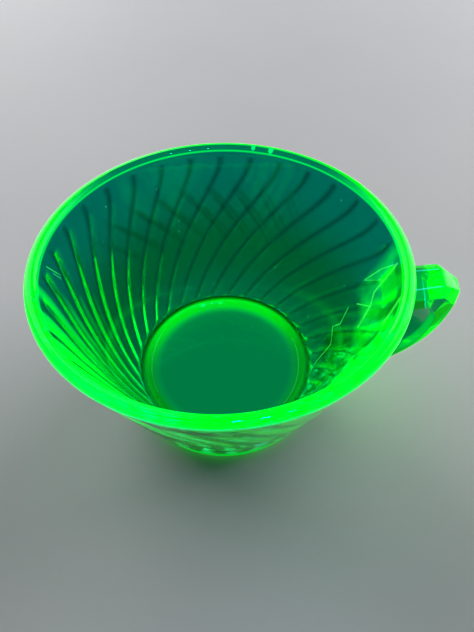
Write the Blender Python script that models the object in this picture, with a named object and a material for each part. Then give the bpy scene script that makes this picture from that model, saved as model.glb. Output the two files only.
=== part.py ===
# A wide pressed-glass cup: a flared bowl with swirled ribs on its outside and a plain
# rounded rim, a low solid foot, and one angular handle fused to the side of the bowl.
# The cup stands on z = 0 with its axis on Z, and the handle points along +X.
# Heights in the bowl and the handle are counted from the bowl's flat underside.
import bpy
from math import cos, exp, hypot, pi, radians, sin

# The whole cup, in metres
HEIGHT = 0.057
RIM_RADIUS = 0.048
FOOT_RADIUS = 0.0314
FOOT_HEIGHT = 0.0019
FOOT_CHAMFER = 0.0004
JOINT_GAP = 0.0003

# The bowl's wall and floor
BOWL_HEIGHT = HEIGHT - FOOT_HEIGHT - JOINT_GAP
WALL_BOTTOM_RADIUS = 0.0316
WALL_CURVE = 0.92               # 1 is a straight cone, less bulges the wall outwards
RIM_THICKNESS = 0.0033
WALL_HEIGHT = BOWL_HEIGHT - RIM_THICKNESS / 2   # the rim's widest level, where its rounding starts
BASE_THICKNESS = 0.0048
FLOOR_THICKNESS = 0.0018
FLOOR_FLAT_RADIUS = 0.0245
FLOOR_BEND_HEIGHT = 0.0085      # where the floor's inner corner has become wall
FLOOR_BEND_INSET = 0.0016       # the wall leans in by this much on its way down to the floor
INNER_LEVELS = (0.70, 0.42)     # shares of the wall's height with a ring on the inside
WALL_STEPS = 8
RIM_STEPS = 4
BEND_STEPS = 4

# The swirled ribs: rounded lobes that meet in narrow valleys
RIB_COUNT = 30
RIB_STEPS = 4
RIB_DEPTH = 0.0006
RIB_TOP = BOWL_HEIGHT - 0.0043
RIB_TOP_RUNOUT = 0.0012
RIB_FOOT_RUNOUT = 0.0024
RIB_PHASE = radians(8)          # angle of the first rib's crest under the rim
SWIRL_TURN = radians(57)        # turn over one wall height once the ribs are fully slanted
SWIRL_LEAD_IN = 0.10            # share of the height over which they start to slant

# The handle's side view, as (distance from the axis, height)
ARM_TOP = ((0.0425, 0.0467), (0.0560, 0.0508))
ARM_UNDERSIDE = ((0.0425, 0.0405), (0.0528, 0.0442))
TIP = (0.0602, 0.0486)
TIP_INSIDE = (0.0549, 0.0412)
LIMB_OUTSIDE = (TIP, (0.0606, 0.0345), (0.0573, 0.0186), (0.0330, 0.0070))
LIMB_INSIDE = (TIP_INSIDE, (0.0550, 0.0322), (0.0512, 0.0236), (0.0330, 0.0162))
ARM_STEPS = 3
LIMB_STEPS = 14

# The handle's cross-section at the arm's root, the tip and the limb's root
HALF_WIDTH = (0.0062, 0.0054, 0.0060)
OUTER_FLAT = (0.0035, 0.0020, 0.0026)
OUTER_BEVEL = (0.0007, 0.0024, 0.0030)
INNER_FLAT = (0.0044, 0.0036, 0.0042)
INNER_BEVEL = 0.0012
ARM_TAPER = 0.4                 # share of the change from root to tip reached at the arm's end

FOOT_SEGMENTS = 90
SHARP_ANGLE = radians(32)


def clear_scene():
    for old in list(bpy.data.objects):
        bpy.data.objects.remove(old, do_unlink=True)


def glass(name, colour):
    material = bpy.data.materials.new(name)
    material.use_nodes = True
    shader = material.node_tree.nodes["Principled BSDF"]
    shader.inputs["Base Color"].default_value = (*colour, 1)
    shader.inputs["Roughness"].default_value = 0.04
    shader.inputs["Metallic"].default_value = 0.0
    shader.inputs["IOR"].default_value = 1.5
    shader.inputs["Transmission Weight"].default_value = 0.85
    return material


def new_object(name, points, faces, material=None):
    mesh = bpy.data.meshes.new(name)
    mesh.from_pydata(points, [], faces)
    mesh.shade_smooth()
    mesh.set_sharp_from_angle(angle=SHARP_ANGLE)
    made = bpy.data.objects.new(name, mesh)
    bpy.context.scene.collection.objects.link(made)
    if material:
        mesh.materials.append(material)
    return made


def between(a, b, t):
    return a + (b - a) * t


def along(start, end, t):
    return tuple(between(a, b, t) for a, b in zip(start, end))


def bezier(a, b, c, d, t):
    u = 1 - t
    return tuple(
        u * u * u * p + 3 * u * u * t * q + 3 * u * t * t * r + t * t * t * s
        for p, q, r, s in zip(a, b, c, d)
    )


def skin(name, rings, material=None):
    """Closed solid through rings of equal length, from one end point to the other."""
    points = [rings[0]]
    starts = []
    for ring in rings[1:-1]:
        starts.append(len(points))
        points.extend(ring)
    points.append(rings[-1])
    count = len(rings[1])
    last = len(points) - 1
    faces = []
    for i in range(count):
        j = (i + 1) % count
        faces.append((0, starts[0] + j, starts[0] + i))
        for low, high in zip(starts, starts[1:]):
            faces.append((low + i, low + j, high + j, high + i))
        faces.append((starts[-1] + i, starts[-1] + j, last))
    return new_object(name, points, faces, material)


def circle(radius, height, count):
    turn = 2 * pi / count
    return [(radius * cos(i * turn), radius * sin(i * turn), height) for i in range(count)]


def wall_radius(height):
    """Outer radius of the wall over the crests of the ribs."""
    share = max(height, 0) / WALL_HEIGHT
    return between(WALL_BOTTOM_RADIUS, RIM_RADIUS, share ** WALL_CURVE)


def wall_thickness(height):
    return between(BASE_THICKNESS, RIM_THICKNESS, height / WALL_HEIGHT)


def rib_depth(height):
    """Depth of the valleys, which run out under the rim band and above the foot."""
    from_top = (RIB_TOP - height) / RIB_TOP_RUNOUT
    from_foot = height / RIB_FOOT_RUNOUT
    return RIB_DEPTH * max(0, min(1, from_top, from_foot))


def swirl(height):
    """How far the ribs have turned at this height, anticlockwise from above."""
    down = max(0, RIB_TOP - height) / BOWL_HEIGHT
    return SWIRL_TURN * (down - SWIRL_LEAD_IN * (1 - exp(-down / SWIRL_LEAD_IN)))


def ribbed_ring(height, grow=0):
    """One level of the wall's outside, its points following the ribs round and down."""
    count = RIB_COUNT * RIB_STEPS
    ring = []
    for i in range(count):
        lobe = abs(cos(pi * i / RIB_STEPS))
        radius = wall_radius(height) - rib_depth(height) * (1 - lobe) + grow
        angle = 2 * pi * i / count + RIB_PHASE + swirl(height)
        ring.append((radius * cos(angle), radius * sin(angle), height))
    return ring


def plain_ring(radius, height):
    """A round level of the bowl whose points line up with the ribs' tops."""
    count = RIB_COUNT * RIB_STEPS
    turn = 2 * pi / count
    return [
        (radius * cos(i * turn + RIB_PHASE), radius * sin(i * turn + RIB_PHASE), height)
        for i in range(count)
    ]


def wall_levels():
    """Heights of the wall's outer rings, closer where the ribs start and end."""
    full_top = RIB_TOP - RIB_TOP_RUNOUT
    levels = [0]
    for i in range(WALL_STEPS + 1):
        levels.append(between(RIB_FOOT_RUNOUT, full_top, i / WALL_STEPS))
    return levels + [RIB_TOP]


def rim_rings():
    """The fire-polished top of the wall, half a circle across its thickness."""
    half = RIM_THICKNESS / 2
    centre_radius = RIM_RADIUS - half
    rings = []
    for i in range(RIM_STEPS + 1):
        angle = pi * i / RIM_STEPS
        rings.append(plain_ring(centre_radius + half * cos(angle), WALL_HEIGHT + half * sin(angle)))
    return rings


def inner_rings():
    """The smooth inside of the wall, then the bend into the flat floor."""
    bend_radius = wall_radius(FLOOR_BEND_HEIGHT) - wall_thickness(FLOOR_BEND_HEIGHT)
    rings = []
    for share in INNER_LEVELS:
        height = WALL_HEIGHT * share
        rings.append(plain_ring(wall_radius(height) - wall_thickness(height), height))
    start = (bend_radius, FLOOR_BEND_HEIGHT)
    corner = (bend_radius - FLOOR_BEND_INSET, FLOOR_THICKNESS)
    end = (FLOOR_FLAT_RADIUS, FLOOR_THICKNESS)
    for i in range(BEND_STEPS + 1):
        t = i / BEND_STEPS
        radius, height = along(along(start, corner, t), along(corner, end, t), t)
        rings.append(plain_ring(radius, height))
    return rings


def make_bowl(material):
    rings = [(0, 0, 0)]
    rings += [ribbed_ring(height) for height in wall_levels()]
    rings += rim_rings()
    rings += inner_rings()
    rings.append((0, 0, FLOOR_THICKNESS))
    bowl = skin("bowl", rings, material)
    bowl.location.z = FOOT_HEIGHT + JOINT_GAP
    return bowl


def make_foot(material):
    """A low round pad as wide as the bottom of the wall, with a small bevel underneath."""
    rings = [
        (0, 0, 0),
        circle(FOOT_RADIUS - FOOT_CHAMFER, 0, FOOT_SEGMENTS),
        circle(FOOT_RADIUS, FOOT_CHAMFER, FOOT_SEGMENTS),
        circle(FOOT_RADIUS, FOOT_HEIGHT, FOOT_SEGMENTS),
        (0, 0, FOOT_HEIGHT),
    ]
    return skin("foot", rings, material)


def make_wall_cutter(bowl):
    """The ribbed body filled in and grown by the gap, to shape the handle's two roots."""
    levels = wall_levels() + [BOWL_HEIGHT]
    rings = [(0, 0, -JOINT_GAP)]
    rings += [ribbed_ring(height, JOINT_GAP) for height in levels]
    rings.append((0, 0, BOWL_HEIGHT + JOINT_GAP))
    cutter = skin("wall_cutter", rings)
    cutter.parent = bowl
    cutter.display_type = "WIRE"
    cutter.hide_render = True
    return cutter


def three_way(values, t):
    """Value at t from 0 to 2, through the arm's root, the tip and the limb's root."""
    first, middle, last = values
    return between(first, middle, t) if t < 1 else between(middle, last, t - 1)


def handle_section(outside, inside, t):
    """Eight points round the handle: a flat outer and inner face, bevels and two sides."""
    depth = hypot(inside[0] - outside[0], inside[1] - outside[1])
    side = three_way(HALF_WIDTH, t)
    outer = three_way(OUTER_FLAT, t)
    inner = three_way(INNER_FLAT, t)
    corners = [
        (outer, 0),
        (side, three_way(OUTER_BEVEL, t) / depth),
        (side, 1 - INNER_BEVEL / depth),
        (inner, 1),
    ]
    corners += [(-width, share) for width, share in reversed(corners)]
    section = []
    for width, share in corners:
        radius, height = along(outside, inside, share)
        section.append((radius, width, height))
    return section


def make_handle(material, bowl, cutter):
    """A straight arm out to a sharp tip, then a limb that curves back to the low wall."""
    sections = []
    for i in range(ARM_STEPS):
        t = i / (ARM_STEPS - 1)
        sections.append(handle_section(along(*ARM_TOP, t), along(*ARM_UNDERSIDE, t), t * ARM_TAPER))
    for i in range(LIMB_STEPS):
        t = i / (LIMB_STEPS - 1)
        sections.append(handle_section(bezier(*LIMB_OUTSIDE, t), bezier(*LIMB_INSIDE, t), 1 + t))
    points = [point for section in sections for point in section]
    sides = len(sections[0])
    faces = [tuple(range(sides))]
    for k in range(len(sections) - 1):
        for i in range(sides):
            j = (i + 1) % sides
            near, far = k * sides, (k + 1) * sides
            faces.append((near + j, near + i, far + i, far + j))
    faces.append(tuple(reversed(range(len(points) - sides, len(points)))))
    handle = new_object("handle", points, faces, material)
    handle.parent = bowl
    cut = handle.modifiers.new("shape_roots", "BOOLEAN")
    cut.operation = "DIFFERENCE"
    cut.object = cutter
    return handle


def make_cup():
    clear_scene()
    foot_glass = glass("foot_glass", (0.00, 0.42, 0.10))
    bowl_glass = glass("bowl_glass", (0.00, 0.55, 0.16))
    handle_glass = glass("handle_glass", (0.00, 0.70, 0.14))
    make_foot(foot_glass)
    bowl = make_bowl(bowl_glass)
    cutter = make_wall_cutter(bowl)
    make_handle(handle_glass, bowl, cutter)


make_cup()
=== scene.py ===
# A wide pressed cup of green uranium glass with swirled ribs, glowing on a pale table.
# Metres throughout. The cup's axis is Z, it stands on z = 0, and its handle points along +X.
import bpy
from math import cos, exp, hypot, pi, radians, sin, sqrt
from mathutils import Matrix, Vector


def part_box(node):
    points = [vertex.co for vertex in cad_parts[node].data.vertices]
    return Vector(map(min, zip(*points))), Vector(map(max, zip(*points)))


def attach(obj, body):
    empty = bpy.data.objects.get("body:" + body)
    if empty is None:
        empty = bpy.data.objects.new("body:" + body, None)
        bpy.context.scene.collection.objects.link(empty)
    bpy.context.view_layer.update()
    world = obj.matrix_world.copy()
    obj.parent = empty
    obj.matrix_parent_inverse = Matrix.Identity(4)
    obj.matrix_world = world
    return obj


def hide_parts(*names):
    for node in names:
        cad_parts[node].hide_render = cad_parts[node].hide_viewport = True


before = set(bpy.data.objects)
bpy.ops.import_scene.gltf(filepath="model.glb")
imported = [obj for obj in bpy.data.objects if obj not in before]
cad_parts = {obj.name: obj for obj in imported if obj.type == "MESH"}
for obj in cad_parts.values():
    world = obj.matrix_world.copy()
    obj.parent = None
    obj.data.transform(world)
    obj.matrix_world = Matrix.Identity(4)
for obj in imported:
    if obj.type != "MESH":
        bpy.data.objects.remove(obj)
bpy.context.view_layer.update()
bowlLow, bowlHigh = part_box("bowl")
footLow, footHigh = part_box("foot")
print("frame loaded")


class Wire:  # a node's output, which can be used in sums like a number
    def __init__(self, recipe, socket):
        self.recipe = recipe
        self.socket = socket

    def math(self, operation, *others):
        return self.recipe.node("Math", {"operation": operation}, [self, *others])

    def after(self, operation, other):
        return self.recipe.node("Math", {"operation": operation}, [other, self])

    def __add__(self, other):
        return self.math("ADD", other)

    def __radd__(self, other):
        return self.after("ADD", other)

    def __sub__(self, other):
        return self.math("SUBTRACT", other)

    def __rsub__(self, other):
        return self.after("SUBTRACT", other)

    def __mul__(self, other):
        return self.math("MULTIPLY", other)

    def __rmul__(self, other):
        return self.after("MULTIPLY", other)

    def __truediv__(self, other):
        return self.math("DIVIDE", other)

    def __rtruediv__(self, other):
        return self.after("DIVIDE", other)

    def __pow__(self, other):
        return self.math("POWER", other)

    def __abs__(self):
        return self.math("ABSOLUTE")

    def atMost(self, other):
        return self.math("MINIMUM", other)

    def atLeast(self, other):
        return self.math("MAXIMUM", other)


class Recipe:  # the nodes of one material, or of the room's light
    def __init__(self, owner, shader):
        owner.use_nodes = True
        self.owner = owner
        self.tree = owner.node_tree
        self.shader = self.tree.nodes[shader]

    def fill(self, node, values):
        pairs = values.items() if isinstance(values, dict) else enumerate(values)
        for key, value in pairs:
            socket = node.inputs[key]
            if isinstance(value, Wire):
                self.tree.links.new(value.socket, socket)
            elif socket.type == "RGBA":
                socket.default_value = (*value[:3], 1)
            else:
                socket.default_value = value

    def node(self, kind, settings, values=(), out=0):
        made = self.tree.nodes.new("ShaderNode" + kind)
        for key, value in settings.items():
            setattr(made, key, value)
        self.fill(made, values)
        return Wire(self, made.outputs[out])

    def blend(self, share, first, second):  # from one colour to another
        return self.node("Mix", {"data_type": "RGBA"}, {0: share, 6: first, 7: second}, out=2)

    def lit(self, colour, amount):  # a colour made stronger or weaker
        return self.node("VectorMath", {"operation": "SCALE"}, {0: colour, "Scale": amount})

    def band(self, value, start, end):  # 0 before start, 1 after end, smooth in between
        settings = {"interpolation_type": "SMOOTHSTEP", "clamp": True}
        return self.node("MapRange", settings, {0: value, 1: start, 2: end, 3: 0.0, 4: 1.0})

    def speckle(self, place, size, detail=2.0):
        return self.node("TexNoise", {}, {"Vector": place, "Scale": 1 / size, "Detail": detail})

    def parts(self, place):  # the x, y and z of a place
        split = self.node("SeparateXYZ", {}, [place])
        return [Wire(self, socket) for socket in split.socket.node.outputs]

    def dot(self, first, second):  # how far one vector runs along another
        return self.node("VectorMath", {"operation": "DOT_PRODUCT"}, [first, second], out=1)


camera = {
    "place": (0.01405, -0.08399, 0.13829),
    "looksAt": (0.00125, 0.02311, 0.0),
    "tilt": -0.33,      # degrees, clockwise lean of the hand that holds it
    "lens": 26.53,      # mm on a 36 mm sensor
}


def makeCamera(settings):
    data = bpy.data.cameras.new("camera")
    data.lens = settings["lens"]
    data.sensor_width = 36
    data.clip_start = 0.005
    made = bpy.data.objects.new("camera", data)
    bpy.context.scene.collection.objects.link(made)
    aim = Vector(settings["looksAt"]) - Vector(settings["place"])
    lean = Matrix.Rotation(radians(settings["tilt"]), 3, "Z").to_quaternion()
    made.rotation_mode = "QUATERNION"
    made.rotation_quaternion = aim.to_track_quat("-Z", "Y") @ lean
    made.location = settings["place"]
    bpy.context.scene.camera = made


makeCamera(camera)
print("camera placed")


def newPiece(name, points, faces):
    mesh = bpy.data.meshes.new(name)
    mesh.from_pydata(points, [], faces)
    mesh.shade_smooth()
    made = bpy.data.objects.new(name, mesh)
    bpy.context.scene.collection.objects.link(made)
    return made


def between(a, b, t):
    return a + (b - a) * t


def along(start, end, t):
    return tuple(between(a, b, t) for a, b in zip(start, end))


def bezier(a, b, c, d, t):
    u = 1 - t
    return tuple(
        u * u * u * p + 3 * u * u * t * q + 3 * u * t * t * r + t * t * t * s
        for p, q, r, s in zip(a, b, c, d)
    )


def ease(t):
    t = max(0, min(1, t))
    return t * t * (3 - 2 * t)


def skin(name, rings):  # closed, from the end point at the bottom to the one inside
    points = [rings[0]]
    starts = []
    for ring in rings[1:-1]:
        starts.append(len(points))
        points.extend(ring)
    points.append(rings[-1])
    count = len(rings[1])
    last = len(points) - 1
    faces = []
    for i in range(count):
        j = (i + 1) % count
        faces.append((0, starts[0] + j, starts[0] + i))
        for low, high in zip(starts, starts[1:]):
            faces.append((low + i, low + j, high + j, high + i))
        faces.append((starts[-1] + i, starts[-1] + j, last))
    return newPiece(name, points, faces)


bowl = {
    "rimRadius": bowlHigh.y,
    "height": bowlHigh.z - bowlLow.z,
    "rimThickness": 0.0033,
    "bottomRadius": 0.0316,
    "bottomEdge": 0.0003,       # rounding of the edge above the foot
    "bulge": 0.92,              # 1 is a straight cone
    "baseThickness": 0.0060,
    "floorThickness": 0.0018,
    "floorFlat": 0.0238,
    "bendHeight": 0.0085,
    "bendInset": 0.0022,
    "stepsPerRib": 20,
    "wallRows": 62,
    "rimRows": 18,
    "insideRows": 36,
    "bendRows": 14,
}
ribs = {
    "count": 30,
    "phase": radians(8),        # angle of the first rib's crest under the rim
    "depth": 0.0006,
    "valleyRounding": 0.10,     # share of a lobe's height that the valleys are eased by
    "top": bowl["height"] - 0.0043,
    "topRunout": 0.0016,
    "footRunout": 0.0028,
    "turn": radians(57),        # over one height of the bowl, once fully slanted
    "leadIn": 0.10,             # share of the height in which they start to slant
}
wallHeight = bowl["height"] - bowl["rimThickness"] / 2


def wallRadius(height):
    share = max(height, 0) / wallHeight
    return between(bowl["bottomRadius"], bowl["rimRadius"], share ** bowl["bulge"])


def wallThickness(height):
    return between(bowl["baseThickness"], bowl["rimThickness"], height / wallHeight)


def ribDepth(height):
    fromTop = ease((ribs["top"] - height) / ribs["topRunout"])
    fromFoot = ease(height / ribs["footRunout"])
    return ribs["depth"] * fromTop * fromFoot


def swirl(height):
    down = max(0, ribs["top"] - height) / bowl["height"]
    return ribs["turn"] * (down - ribs["leadIn"] * (1 - exp(-down / ribs["leadIn"])))


def lobe(turns):  # 1 on a rib's crest, 0 in the valley between two
    soft = ribs["valleyRounding"]
    return (sqrt(cos(pi * turns) ** 2 + soft * soft) - soft) / (sqrt(1 + soft * soft) - soft)


def ribbedRing(height, grow=0.0):
    count = ribs["count"] * bowl["stepsPerRib"]
    radius = wallRadius(height) + grow
    depth = ribDepth(height)
    turned = ribs["phase"] + swirl(height)
    ring = []
    for i in range(count):
        reach = radius - depth * (1 - lobe(i / bowl["stepsPerRib"]))
        angle = 2 * pi * i / count + turned
        ring.append((reach * cos(angle), reach * sin(angle), bowlLow.z + height))
    return ring


def plainRing(radius, height):
    count = ribs["count"] * bowl["stepsPerRib"]
    ring = []
    for i in range(count):
        angle = 2 * pi * i / count + ribs["phase"]
        ring.append((radius * cos(angle), radius * sin(angle), bowlLow.z + height))
    return ring


def outsideRings():
    edge = bowl["bottomEdge"]
    rings = [plainRing(bowl["bottomRadius"] - 0.004, 0)]
    for t in (0, 0.25, 0.5, 0.75):
        lean = pi / 2 * t
        rings.append(plainRing(wallRadius(edge) - edge * (1 - sin(lean)), edge * (1 - cos(lean))))
    for i in range(bowl["wallRows"] + 1):
        rings.append(ribbedRing(between(edge, ribs["top"], i / bowl["wallRows"])))
    for t in (0.33, 0.67):
        rings.append(ribbedRing(between(ribs["top"], wallHeight, t)))
    return rings


def rimRings():
    half = bowl["rimThickness"] / 2
    centre = bowl["rimRadius"] - half
    rings = []
    for i in range(bowl["rimRows"] + 1):
        lean = pi * i / bowl["rimRows"]
        rings.append(plainRing(centre + half * cos(lean), wallHeight + half * sin(lean)))
    return rings


def insideRings():
    rings = []
    for i in range(1, bowl["insideRows"]):
        height = between(wallHeight, bowl["bendHeight"], i / bowl["insideRows"])
        rings.append(plainRing(wallRadius(height) - wallThickness(height), height))
    bendRadius = wallRadius(bowl["bendHeight"]) - wallThickness(bowl["bendHeight"])
    start = (bendRadius, bowl["bendHeight"])
    corner = (bendRadius - bowl["bendInset"], bowl["floorThickness"])
    end = (bowl["floorFlat"], bowl["floorThickness"])
    for i in range(bowl["bendRows"] + 1):
        t = i / bowl["bendRows"]
        rings.append(plainRing(*along(along(start, corner, t), along(corner, end, t), t)))
    for share in (0.96, 0.6, 0.2):
        rings.append(plainRing(bowl["floorFlat"] * share, bowl["floorThickness"]))
    return rings


def makeBowl():
    rings = [(0, 0, bowlLow.z)] + outsideRings() + rimRings() + insideRings()
    rings.append((0, 0, bowlLow.z + bowl["floorThickness"]))
    return skin("bowl_glass", rings)


foot = {
    "radius": footHigh.x,
    "height": footHigh.z,
    "edge": 0.0004,
    "around": 240,
    "edgeRows": 6,
}


def footRing(radius, height):
    turn = 2 * pi / foot["around"]
    return [(radius * cos(i * turn), radius * sin(i * turn), height) for i in range(foot["around"])]


def makeFoot():
    inner = foot["radius"] - foot["edge"]
    rings = [(0, 0, 0), footRing(inner * 0.9, 0)]
    for i in range(foot["edgeRows"] + 1):
        lean = pi / 2 * i / foot["edgeRows"]
        rings.append(footRing(inner + foot["edge"] * sin(lean), foot["edge"] * (1 - cos(lean))))
    small = foot["edge"] / 3
    for i in range(foot["edgeRows"] + 1):
        lean = pi / 2 * i / foot["edgeRows"]
        radius = foot["radius"] - small * (1 - cos(lean))
        rings.append(footRing(radius, foot["height"] - small * (1 - sin(lean))))
    rings += [footRing(inner * 0.9, foot["height"]), (0, 0, foot["height"])]
    return skin("foot_glass", rings)


tip = (0.0602, 0.0486)
tipInside = (0.0549, 0.0412)
handle = {
    "armTop": ((0.0425, 0.0467), (0.0560, 0.0508)),
    "armUnderside": ((0.0425, 0.0405), (0.0528, 0.0442)),
    "limbOutside": (tip, (0.0605, 0.0345), (0.0573, 0.0186), (0.0330, 0.0070)),
    "limbInside": (tipInside, (0.0550, 0.0322), (0.0512, 0.0236), (0.0330, 0.0162)),
    "halfWidth": (0.0062, 0.0054, 0.0060),      # at the arm's root, the tip and the limb's root
    "outerFlat": (0.0035, 0.0020, 0.0026),
    "outerBevel": (0.0007, 0.0024, 0.0030),
    "innerFlat": (0.0044, 0.0036, 0.0042),
    "innerBevel": 0.0012,
    "armTaper": 0.4,
    "armSteps": 3,
    "limbSteps": 40,
    "jointGap": bowlLow.z - footHigh.z,
    "edgeRadius": 0.00035,
    "edgeRows": 3,
    "softenFrom": radians(14),      # edges that bend more than this are rounded
    "sharpFrom": radians(30),
}


def threeWay(values, t):
    first, middle, last = values
    return between(first, middle, t) if t < 1 else between(middle, last, t - 1)


def handleSection(outside, inside, t):
    deep = hypot(inside[0] - outside[0], inside[1] - outside[1])
    corners = [
        (threeWay(handle["outerFlat"], t), 0),
        (threeWay(handle["halfWidth"], t), threeWay(handle["outerBevel"], t) / deep),
        (threeWay(handle["halfWidth"], t), 1 - handle["innerBevel"] / deep),
        (threeWay(handle["innerFlat"], t), 1),
    ]
    corners += [(-width, share) for width, share in reversed(corners)]
    section = []
    for width, share in corners:
        radius, height = along(outside, inside, share)
        section.append((radius, width, bowlLow.z + height))
    return section


def handleSections():
    sections = []
    for i in range(handle["armSteps"]):
        t = i / (handle["armSteps"] - 1)
        top = along(*handle["armTop"], t)
        underside = along(*handle["armUnderside"], t)
        sections.append(handleSection(top, underside, t * handle["armTaper"]))
    for i in range(handle["limbSteps"]):
        t = i / (handle["limbSteps"] - 1)
        outside = bezier(*handle["limbOutside"], t)
        inside = bezier(*handle["limbInside"], t)
        sections.append(handleSection(outside, inside, 1 + t))
    return sections


def makeRootCutter():  # the ribbed body filled in and grown by the joint's gap
    gap = handle["jointGap"]
    rings = [(0, 0, bowlLow.z - gap)]
    for i in range(bowl["wallRows"] + 1):
        rings.append(ribbedRing(between(0, bowl["height"], i / bowl["wallRows"]), gap))
    rings.append((0, 0, bowlHigh.z + gap))
    return skin("root_cutter", rings)


def makeHandle():
    sections = handleSections()
    points = [point for section in sections for point in section]
    sides = len(sections[0])
    faces = [tuple(range(sides))]
    for k in range(len(sections) - 1):
        for i in range(sides):
            j = (i + 1) % sides
            near, far = k * sides, (k + 1) * sides
            faces.append((near + j, near + i, far + i, far + j))
    faces.append(tuple(reversed(range(len(points) - sides, len(points)))))
    made = newPiece("handle_glass", points, faces)
    soften = made.modifiers.new("softened_edges", "BEVEL")
    soften.width = handle["edgeRadius"]
    soften.segments = handle["edgeRows"]
    soften.limit_method = "ANGLE"
    soften.angle_limit = handle["softenFrom"]
    cutter = makeRootCutter()
    cut = made.modifiers.new("shaped_roots", "BOOLEAN")
    cut.operation = "DIFFERENCE"
    cut.object = cutter
    bpy.context.view_layer.update()
    evaluated = made.evaluated_get(bpy.context.evaluated_depsgraph_get())
    shaped = bpy.data.meshes.new_from_object(evaluated)
    made.modifiers.clear()
    made.data = shaped
    shaped.shade_smooth()
    shaped.set_sharp_from_angle(angle=handle["sharpFrom"])
    bpy.data.objects.remove(cutter)
    return made


glow = {
    "colour": (0.0, 1.0, 0.0),
    "perMetre": 10.0,               # strength inside the glass
    "glint": (0.03, 1.0, 0.40),     # tint of reflections
}


def glassRecipe(name, tint):
    recipe = Recipe(bpy.data.materials.new(name), "Principled BSDF")
    recipe.fill(recipe.shader, {
        "Base Color": tint,
        "Roughness": 0.0,
        "IOR": 1.5,
        "Transmission Weight": 1.0,
        "Specular Tint": glow["glint"],
        "Emission Strength": 1.0,
    })
    recipe.place = recipe.node("TexCoord", {}, out=3)
    inside = recipe.node("Emission", {}, {"Color": glow["colour"], "Strength": glow["perMetre"]})
    recipe.fill(recipe.tree.nodes["Material Output"], {"Volume": inside})
    return recipe


glassSkin = {       # sizes of the marks on pressed glass
    "waves": 0.004,
    "pits": 0.0006,
    "pitDepth": 0.15,           # as a share of the waves
    "pitRange": (0.72, 0.80),   # the noise that makes a pit
    "smears": 0.012,
    "smearRange": (0.50, 0.80),
    "smearRoughness": 0.06,
}


def wavy(recipe, depth):  # the faint waves and smears of pressed glass
    waves = recipe.speckle(recipe.place, glassSkin["waves"])
    pits = recipe.band(recipe.speckle(recipe.place, glassSkin["pits"], 1.0), *glassSkin["pitRange"])
    height = waves + pits * glassSkin["pitDepth"]
    bump = recipe.node("Bump", {}, {"Strength": 1.0, "Distance": depth, "Height": height})
    smears = recipe.speckle(recipe.place, glassSkin["smears"], 4.0)
    smears = recipe.band(smears, *glassSkin["smearRange"])
    recipe.fill(recipe.shader, {"Normal": bump, "Roughness": smears * glassSkin["smearRoughness"]})


bowlLook = {
    "wallHigh": (0.0, 0.26, 0.20),
    "wallMiddle": (0.0, 0.18, 0.062),
    "wallLow": (0.0, 0.21, 0.11),
    # painted shade: dark lines along the rib valleys of the outer wall
    "valleyShade": (0.0, 0.045, 0.055),
    "ribReflection": (0.0, 0.070, 0.012),     # painted reflection: darker where ribs mirrored in the wall cross the real ones
    "ribReflectionSide": (110, 24, 36),       # degrees round, half its width, and its fade
    "joint": (0.10, 0.95, 0.60),        # clear, because the handle is fused on there
    "jointHeights": (0.0415, 0.0488),   # above the bowl's underside, as the other heights are
    "rimGlow": 0.72,
    "rimShade": 0.06,                   # on the inner half of the rim, at the back
    "rimShadeSide": (98, 38, 34),
    # painted highlight: a teal line along the rim's outer edge
    "edgeHighlight": (0.0, 0.24, 0.17),
    "cornerGlow": 0.40,                 # the ring round the floor
    "cornerReach": (0.0212, 0.0245),    # from the axis: where the ring starts and is full
    "cornerGlowHaze": (0.0150, 0.0250),     # the same for the fainter glow inside it
    "cornerSide": (105, 35, 60),
    "floorGlow": (0.0, 0.20, 0.072),
    "leftLit": (180, 245),              # degrees round where lobes start to glow, and where they are full
    "rightLit": (304, 37),              # degrees round at the floor, and how much further at the rim
    "rightRagged": (0.006, 26),         # size of the bites out of its edge, and how deep in degrees
    "rootGlow": 0.45,
    "rootSides": ((1, 6, 6), (-13, 6, 5)),      # the middle of the patch and its front
    "rootStreaks": 0.007,
    "lobeGlow": 0.85,
    "lobeShift": (radians(2.7), 0.0018),    # lines the inner glow up with the ribs behind it
    "lobeFade": (0.006, 0.052),         # heights at which it is faintest and full
    "waves": 0.000018,
    # dust specks on the inner wall, painted as small glints of light
    "dust": 0.00018,
    "dustSpacing": 0.0055,
    "dustGlintColour": (0.10, 0.50, 0.35),
    # colour of the painted glint lines on the inner wall
    "glintLineColour": (0.03, 0.85, 0.04),
    "lineBreaks": 0.003,
    # colour of the painted highlights on the rim's chips
    "chipGlintColour": (0.0, 0.9, 0.1),
}
chipGlints = ((85.0, 0.8), (78.0, 1.0))      # flakes off the back of the rim, painted as bright spots of light: degrees round, and size in mm
glintLines = (     # painted glints on the inner wall, the first two on scratches near the rim and the rest where the handle's edges show through the wall: width in mm, then degrees round and height in mm of each point
    (0.22, (190.5, 53.5), (188.3, 48.6)),
    (0.18, (190.5, 51.0), (189.3, 48.0)),
    (0.25, (8.2, 31.8), (4.8, 26.7), (8.1, 22.7), (-1.5, 20.8), (-3.5, 11.8), (-9.4, 6.9)),
    (0.30, (11.4, 41.2), (7.5, 48.6), (2.8, 54.1)),
    (0.22, (11.4, 41.2), (2.1, 48.6)),
    (0.60, (2.8, 54.1), (2.1, 48.6), (1.7, 43.8), (-2.8, 41.7)),
    (0.28, (5.1, 36.0), (-2.8, 41.7)),
    (0.95, (-2.8, 41.7), (-7.1, 36.3)),
    (1.30, (-18.8, 50.2), (-13.4, 55.1)),
)


def ringPlaces(recipe):  # distance from the axis, angle, and height above the bowl's underside
    x, y, z = recipe.parts(recipe.place)
    reach = (x * x + y * y).math("SQRT")
    return reach, y.math("ARCTAN2", x), z - bowlLow.z


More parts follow.
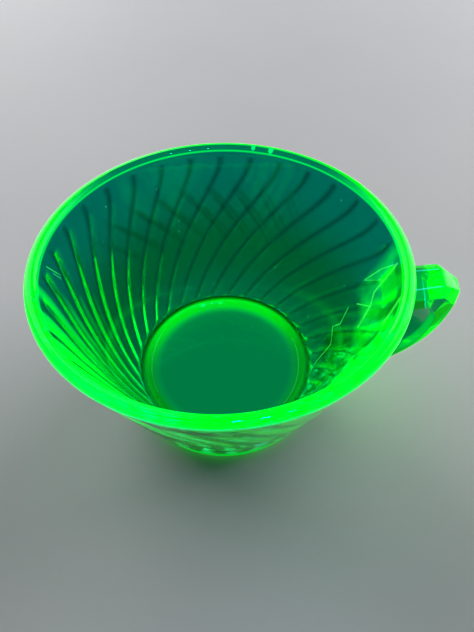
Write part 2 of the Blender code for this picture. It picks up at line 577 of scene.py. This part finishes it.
def outerWall(height):  # the outer wall's distance from the axis, without its ribs
    share = (height / wallHeight).atLeast(0.0)
    flare = bowl["rimRadius"] - bowl["bottomRadius"]
    return bowl["bottomRadius"] + flare * share ** bowl["bulge"]


def facing(recipe, angle, side, width, fade):  # 1 within width degrees of a side, 0 past the fade
    near = (angle - radians(side)).math("COSINE")
    return recipe.band(near, cos(radians(width + fade)), cos(radians(width)))


def ribCrest(angle, height, way=1.0):  # 1 on a crest, 0 in a valley
    down = (ribs["top"] - height).atLeast(0.0) / bowl["height"]
    eased = ribs["leadIn"] * (1 - (down * (-1 / ribs["leadIn"])).math("EXPONENT"))
    turned = (ribs["turn"] * way) * (down - eased)
    turns = (angle - ribs["phase"] - turned) * (ribs["count"] / (2 * pi))
    return abs((turns * pi).math("COSINE"))


def leftGlowWedges(recipe, angle, around, height):  # painted glow between the ribs, wider towards the front
    turn, drop = bowlLook["lobeShift"]
    crest = ribCrest(angle - turn, height - drop)
    share = height / wallHeight
    start, full = bowlLook["leftLit"]
    start = start + 14 * recipe.band(share, 0.60, 0.82)
    left = ((around - start) / (full - 25 * share - start)).atLeast(0.0).atMost(1.0)
    left = left * recipe.band(around - share * 26, 234, 222)
    # below this crest height a lobe stays dark, so that it narrows to a point
    dark = 0.95 - left * (0.32 + 0.44 * recipe.band(height, 0.026, 0.053))
    lobe = ((crest - dark) / 0.30).atLeast(0.0).atMost(1.0)
    wedges = lobe * (0.55 + 0.45 * left) * recipe.band(left, 0.0, 0.05)
    return wedges * (0.15 + 0.85 * recipe.band(height, *bowlLook["lobeFade"]))


def rightGlow(recipe, around, height):  # a solid patch with a ragged edge
    share = height / wallHeight
    start, further = bowlLook["rightLit"]
    size, bite = bowlLook["rightRagged"]
    ragged = (recipe.speckle(recipe.place, size, 3.0) - 0.5) * bite
    right = recipe.band(around - share * further + ragged, start + 5, start - 5)
    return right * recipe.band(around + 92 * share, 374, 392) * recipe.band(share, 0.34, 0.80)


def lobeLight(recipe, angle, height):
    around = (angle * (180 / pi) + 360).math("MODULO", 360)
    left = leftGlowWedges(recipe, angle, around, height)
    return left.atLeast(rightGlow(recipe, around, height)) * bowlLook["lobeGlow"]


def rootLight(recipe, angle, height):  # the handle's arm, glowing through the wall
    middle, front = bowlLook["rootSides"]
    middle = facing(recipe, angle, *middle) * recipe.band(height, 0.033, 0.038)
    front = facing(recipe, angle, *front) * recipe.band(height, 0.030, 0.036)
    streaks = recipe.band(recipe.speckle(recipe.place, bowlLook["rootStreaks"]), 0.35, 0.70)
    return middle.atLeast(front) * (0.35 + 0.65 * streaks) * bowlLook["rootGlow"]


def onWall(degrees, millimetres):  # a point on the inner wall, its height given above the table
    height = millimetres / 1000 - bowlLow.z
    reach = wallRadius(height) - wallThickness(height)
    return Vector((reach * cos(radians(degrees)), reach * sin(radians(degrees)), height + bowlLow.z))


def nearLine(recipe, start, end, width):  # 1 along a straight line, 0 past its width
    line = end - start
    offset = recipe.node("VectorMath", {"operation": "SUBTRACT"}, [recipe.place, start])
    step = recipe.dot(offset, line / line.length_squared).atLeast(0.0).atMost(1.0)
    nearest = recipe.node("VectorMath", {"operation": "SCALE"}, {0: line, "Scale": step})
    away = recipe.node("VectorMath", {"operation": "DISTANCE"}, [offset, nearest], out=1)
    return recipe.band(away, width, width * 0.3)


# painted glints along the listed lines, two of them on scratches
def lineLight(recipe):
    lineGlints = 0.0
    for width, *run in glintLines:
        for start, end in zip(run, run[1:]):
            lineGlint = nearLine(recipe, onWall(*start), onWall(*end), width * 0.001)
            lineGlints = lineGlint.atLeast(lineGlints)
    return lineGlints * recipe.band(recipe.speckle(recipe.place, bowlLook["lineBreaks"]), 0.2, 0.55)


def nearSpot(recipe, angle, height, spot, size):  # 1 within size metres of (degrees, height)
    side = (angle - radians(spot[0])) * bowl["rimRadius"]
    up = height - spot[1]
    return recipe.band((side * side + up * up).math("SQRT"), size, size * 0.6)


def joined(recipe, height):  # where the handle's arm meets the wall
    x, y = recipe.parts(recipe.place)[:2]
    half = handle["halfWidth"][0]
    across = recipe.band(abs(y), half + 0.0003, half - 0.0002)
    low, high = bowlLook["jointHeights"]
    up = recipe.band(height, low, low + 0.0007) * recipe.band(height, high, high - 0.0007)
    return across * up * recipe.band(x, 0.02, 0.022)


# the glass's tint, with painted shade in the rib valleys and a painted reflection of the ribs
def bowlTintAndShade(recipe, angle, height, outside):
    share = (height / wallHeight).atLeast(0.0)
    tint = recipe.blend(recipe.band(share, 0.45, 0.9), bowlLook["wallMiddle"], bowlLook["wallHigh"])
    tint = recipe.blend(recipe.band(share, 0.35, 0.08), tint, bowlLook["wallLow"])
    # painted reflection of the ribs in the wall, darker where it crosses the real ribs
    mirrored = recipe.band(ribCrest(angle, height, -1.3), 0.55, 0.15)
    ribReflection = mirrored * recipe.band(share, 0.86, 0.70) * recipe.band(share, 0.42, 0.62)
    ribReflection = ribReflection * facing(recipe, angle, *bowlLook["ribReflectionSide"]) * 0.6
    tint = recipe.blend(ribReflection, tint, bowlLook["ribReflection"])
    # painted shade: thin dark lines in the outer wall's rib valleys, where refraction turns light away
    ribbed = recipe.band(height, ribs["top"] + 0.0003, ribs["top"] - 0.0008)
    ribbed = ribbed * recipe.band(height, 0.0005, 0.002)
    valleyShade = recipe.band(ribCrest(angle, height), 0.62, 0.04) * ribbed * outside
    tint = recipe.blend(valleyShade, tint, bowlLook["valleyShade"])
    return recipe.blend(joined(recipe, height) * outside, tint, bowlLook["joint"])


def rimLean(reach, height):  # degrees round the rim's section: 0 outside, 90 on top, 180 inside
    centre = bowl["rimRadius"] - bowl["rimThickness"] / 2
    return (height - wallHeight).math("ARCTAN2", reach - centre) * (180 / pi)


def rimLight(recipe, angle, height, lean):
    shaded = recipe.band(lean, 96, 108) * recipe.band(lean, 166, 156)
    shaded = shaded * facing(recipe, angle, *bowlLook["rimShadeSide"])
    rim = recipe.band(height, wallHeight - 0.0002, wallHeight + 0.0003)
    return rim * (bowlLook["rimGlow"] - (bowlLook["rimGlow"] - bowlLook["rimShade"]) * shaded)


def cornerLight(recipe, reach, angle, height):  # the ring round the floor, brightest at the back
    low = recipe.band(height, 0.0042, 0.0030)
    back = facing(recipe, angle, *bowlLook["cornerSide"])
    ring = recipe.band(reach, *bowlLook["cornerReach"]) * low * (0.35 + 0.65 * back)
    glowHaze = recipe.band(reach, *bowlLook["cornerGlowHaze"]) * low * back * 0.18
    inside = recipe.band(reach, 0.0300, 0.0288)     # keeps it off the outer wall
    return (ring + glowHaze) * inside * bowlLook["cornerGlow"]


# where the dust specks sit; they are painted as glints of light
def dustGlints(recipe):
    size = bowlLook["dust"] / bowlLook["dustSpacing"]
    values = {"Vector": recipe.place, "Scale": 1 / bowlLook["dustSpacing"]}
    cells = recipe.node("TexVoronoi", {"feature": "F1"}, values)
    return recipe.band(cells, size * 1.5, size * 0.5)


def makeBowlGlass():
    recipe = glassRecipe("bowl_uranium_glass", bowlLook["wallHigh"])
    reach, angle, height = ringPlaces(recipe)
    outside = recipe.band(reach - outerWall(height), -0.0022, -0.0016)
    lean = rimLean(reach, height)
    inWall = (1 - outside) * recipe.band(height, bowl["bendHeight"] * 0.4, bowl["bendHeight"])
    wall = lobeLight(recipe, angle, height).atLeast(rootLight(recipe, angle, height)) * inWall
    amount = rimLight(recipe, angle, height, lean) + cornerLight(recipe, reach, angle, height) + wall
    light = recipe.lit(glow["colour"], amount)
    floor = recipe.band(reach, 0.0255, 0.0225) * recipe.band(height, 0.004, 0.003)
    light = recipe.blend(floor * 0.5, light, bowlLook["floorGlow"])
    # painted highlight: a teal line round the rim's outer edge
    outerEdgeHighlight = recipe.band(lean, -4, 4) * recipe.band(lean, 22, 12)
    light = recipe.blend(outerEdgeHighlight, light, bowlLook["edgeHighlight"])
    # dust specks, painted bright in the emission as glints
    light = recipe.blend(dustGlints(recipe) * inWall * 0.8, light, bowlLook["dustGlintColour"])
    # painted glints along lines on the inner wall
    light = recipe.blend(lineLight(recipe) * inWall * 0.85, light, bowlLook["glintLineColour"])
    # painted highlights on the two chips in the rim
    for degrees, size in chipGlints:
        flakeGlint = nearSpot(recipe, angle, height, (degrees, wallHeight + 0.0014), size * 0.001)
        light = recipe.blend(flakeGlint * recipe.band(lean, 85, 95), light, bowlLook["chipGlintColour"])
    tint = bowlTintAndShade(recipe, angle, height, outside)
    recipe.fill(recipe.shader, {"Base Color": tint, "Emission Color": light})
    wavy(recipe, bowlLook["waves"])
    return recipe.owner


footLook = {
    "tint": (0.0, 0.3, 0.2),
    "glow": (0.0, 0.10, 0.03),
    "edgeGlow": (0.0, 0.45, 0.0),
    "waves": 0.00002,
}


def makeFootGlass():
    recipe = glassRecipe("foot_uranium_glass", footLook["tint"])
    reach = ringPlaces(recipe)[0]
    edge = recipe.band(reach, foot["radius"] - 0.0009, foot["radius"] - 0.0002)
    light = recipe.blend(edge, footLook["glow"], footLook["edgeGlow"])
    recipe.fill(recipe.shader, {"Emission Color": light})
    wavy(recipe, footLook["waves"])
    return recipe.owner


handleLook = {
    "tint": (0.0, 0.16, 0.12),
    "faceGlow": 0.45,       # on the faces that look up and outwards
    "bodyGlow": 0.04,
    "rootGlow": 0.7,
    "rootBand": 0.0010,     # how far from the wall the roots glow
    # painted highlights: two thin cyan lines along the top edges of the arm
    "edgeHighlight": ((0.0450, 0.0035, 0.0475), (0.0550, 0.0029, 0.0505)),    # reach, side and height
    "edgeHighlightWidth": 0.0003,
    "edgeHighlightColour": (0.02, 0.55, 0.42),
    "facets": (             # the way a lit face looks, where its glow starts and is full, its strength
        ((0.62, 0.0, 0.78), 0.30, 0.90, 1.0),
        ((0.97, 0.0, -0.24), 0.45, 0.85, 1.0),
        ((0.80, 0.0, -0.60), 0.35, 0.60, 1.9),
    ),
    "streaks": 0.006,
    "waves": 0.00001,
}


def makeHandleGlass():
    recipe = glassRecipe("handle_uranium_glass", handleLook["tint"])
    reach, _, height = ringPlaces(recipe)
    root = recipe.band(reach - outerWall(height), handleLook["rootBand"], handleLook["rootBand"] * 0.2)
    root = root * recipe.band(height, 0.025, 0.035)
    way = recipe.node("NewGeometry", {}, out=1)
    face = 0.0
    for direction, start, full, strength in handleLook["facets"]:
        face = (recipe.band(recipe.dot(way, direction), start, full) * strength).atLeast(face)
    face = face * (0.55 + 0.7 * recipe.speckle(recipe.place, handleLook["streaks"]))
    amount = handleLook["bodyGlow"] + handleLook["faceGlow"] * face + handleLook["rootGlow"] * root
    light = recipe.lit(glow["colour"], amount)
    # painted highlights along the arm's two top edges
    for side in (-1, 1):
        start, end = (Vector((x, side * y, bowlLow.z + z)) for x, y, z in handleLook["edgeHighlight"])
        line = nearLine(recipe, start, end, handleLook["edgeHighlightWidth"])
        light = recipe.blend(line, light, handleLook["edgeHighlightColour"])
    recipe.fill(recipe.shader, {"Emission Color": light})
    wavy(recipe, handleLook["waves"])
    return recipe.owner


bowlPiece = makeBowl()
footPiece = makeFoot()
handlePiece = makeHandle()
handlePiece.data.materials.clear()
finished = (
    (bowlPiece, "bowl", makeBowlGlass()),
    (footPiece, "foot", makeFootGlass()),
    (handlePiece, "handle", makeHandleGlass()),
)
for piece, node, glass in finished:
    piece.data.materials.append(glass)
    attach(piece, "root")
    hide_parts(node)
    print(node, "made with", len(piece.data.polygons), "faces")


table = {
    "size": 6.0,
    "paint": (0.76, 0.76, 0.78),
    "paintShade": (0.70, 0.70, 0.73),
    "mottle": 0.09,
    "grain": 0.0012,
    "grainDepth": 0.00005,
    "roughness": (0.55, 0.15),      # at its least, and how much the grain adds
}


def makeTable():
    half = table["size"] / 2
    corners = [(-half, -half, 0), (half, -half, 0), (half, half, 0), (-half, half, 0)]
    made = newPiece("table", corners, [(0, 1, 2, 3)])
    recipe = Recipe(bpy.data.materials.new("pale_paint"), "Principled BSDF")
    place = recipe.node("TexCoord", {}, out=3)
    mottle = recipe.speckle(place, table["mottle"], 4.0)
    tone = recipe.blend(mottle, table["paint"], table["paintShade"])
    grain = recipe.speckle(place, table["grain"], 3.0)
    relief = {"Strength": 0.3, "Distance": table["grainDepth"], "Height": grain}
    least, more = table["roughness"]
    recipe.fill(recipe.shader, {
        "Base Color": tone,
        "Roughness": least + more * grain,
        "Normal": recipe.node("Bump", {}, relief),
    })
    made.data.materials.append(recipe.owner)


lamps = {
    "places": {"backLeft": (-0.80, 0.78, 0.55), "backRight": (0.80, 0.78, 0.55)},
    "size": 1.2,
    "watts": 11.0,
    "colour": (1.0, 1.0, 1.0),
    "lightsTable": True,
}
torches = {     # three small lights in a row above the front of the rim, for its glints
    "middle": (0.0415, -0.070, 0.176),
    "step": (0.022, 0.004, 0.0),
    "size": 0.009,
    "watts": 0.04,
    "colour": (0.0, 0.6, 1.0),
    "lightsTable": False,
}


def makeLamp(name, place, settings):
    data = bpy.data.lights.new(name, "AREA")
    data.shape = "SQUARE"
    data.size = settings["size"]
    data.energy = settings["watts"]
    data.color = settings["colour"]
    made = bpy.data.objects.new(name, data)
    bpy.context.scene.collection.objects.link(made)
    made.location = place
    made.rotation_mode = "QUATERNION"
    made.rotation_quaternion = (-Vector(place)).to_track_quat("-Z", "Y")
    made.visible_diffuse = settings["lightsTable"]
    made.visible_camera = False


room = {
    "colour": (0.9, 0.95, 1.0),
    "overhead": 0.045,
    "horizon": 0.42,
    "band": (0.02, 0.30),       # how far up the pale horizon fades out, 1 being straight up
}


def makeRoomLight():
    world = bpy.data.worlds.new("room")
    bpy.context.scene.world = world
    recipe = Recipe(world, "Background")
    up = recipe.parts(recipe.node("TexCoord", {}))[2]
    values = [up, *room["band"], room["horizon"], room["overhead"]]
    strength = recipe.node("MapRange", {"interpolation_type": "SMOOTHSTEP"}, values)
    recipe.fill(recipe.shader, {"Color": room["colour"], "Strength": strength})


makeTable()
for name, place in lamps["places"].items():
    makeLamp(name, place, lamps)
for i in (-1, 0, 1):
    makeLamp("torch" + str(i + 2), Vector(torches["middle"]) + i * Vector(torches["step"]), torches)
makeRoomLight()
bpy.context.scene.view_settings.view_transform = "Standard"
paths = bpy.context.scene.cycles
paths.max_bounces = 32
paths.transmission_bounces = 32
paths.glossy_bounces = 12
print("table and light set")
